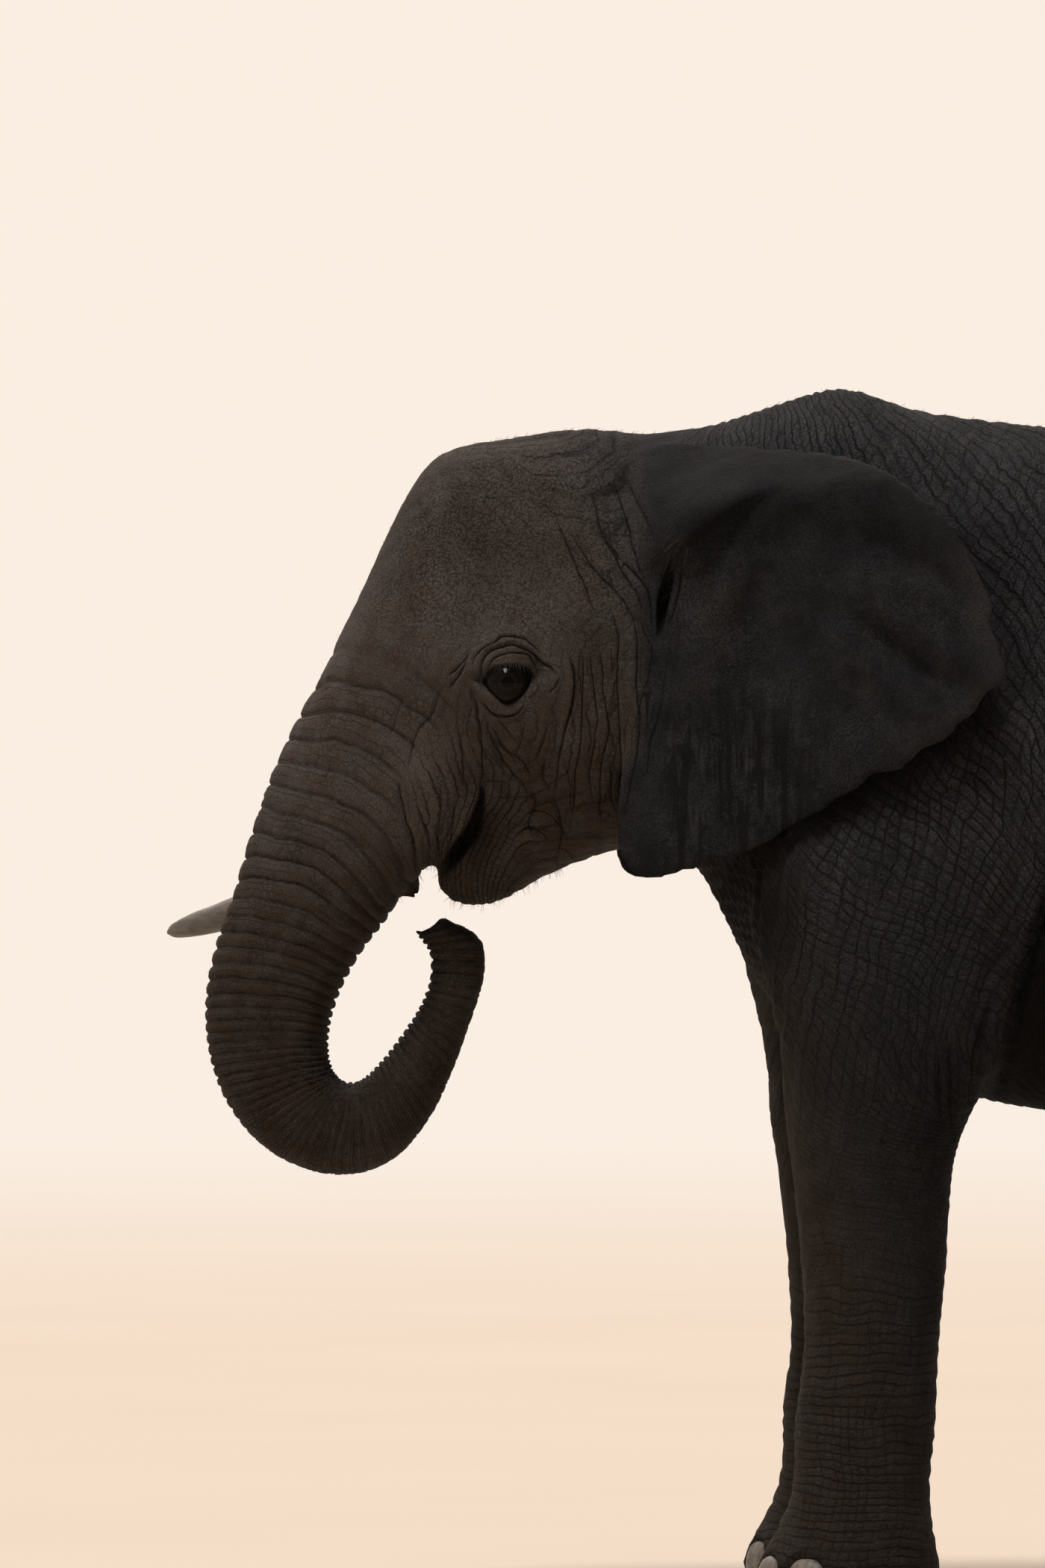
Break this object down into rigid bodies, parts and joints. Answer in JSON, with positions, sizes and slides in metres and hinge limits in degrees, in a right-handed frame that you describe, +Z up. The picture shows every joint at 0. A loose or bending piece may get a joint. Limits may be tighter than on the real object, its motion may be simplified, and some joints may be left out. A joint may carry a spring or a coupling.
{
  "type": "elephant",
  "caption": "Life-size still model of a young African elephant standing on four legs, with its trunk curled up to its mouth and one short tusk.",
  "frame": {"origin": "middle of the floor under the animal, at the level of its soles", "axes": "+Z up, -X ahead to the trunk, +X to the tail, +Y to the animal's right"},
  "size_m": [3.0632, 0.9958, 2.16],
  "materials": {
    "hide": "dry wrinkled grey-brown skin",
    "eye": "wet gloss",
    "ivory": "stained satin ivory",
    "nail": "worn horn",
    "tuft": "stiff black tail hair"
  },
  "bodies": {
    "root": {"head": "hide", "jaw_lower": "hide", "neck": "hide", "torso": "hide", "trunk_upper": "hide", "trunk_middle": "hide", "trunk_bend_front": "hide", "trunk_bend_rear": "hide", "trunk_lower": "hide", "trunk_tip": "hide", "ear_left": "hide", "ear_right": "hide", "leg_front_left": "hide", "leg_front_right": "hide", "leg_hind_left": "hide", "leg_hind_right": "hide", "foot_front_left": "hide", "foot_front_right": "hide", "foot_hind_left": "hide", "foot_hind_right": "hide", "tail": "hide", "tail_tuft": "tuft", "eye_left": "eye", "eye_right": "eye", "tusk_right": "ivory", "nail_front_left_1": "nail", "nail_front_left_2": "nail", "nail_front_left_3": "nail", "nail_front_left_4": "nail", "nail_front_right_1": "nail", "nail_front_right_2": "nail", "nail_front_right_3": "nail", "nail_front_right_4": "nail", "nail_hind_left_1": "nail", "nail_hind_left_2": "nail", "nail_hind_left_3": "nail", "nail_hind_right_1": "nail", "nail_hind_right_2": "nail", "nail_hind_right_3": "nail"}
  },
  "joints": []
}
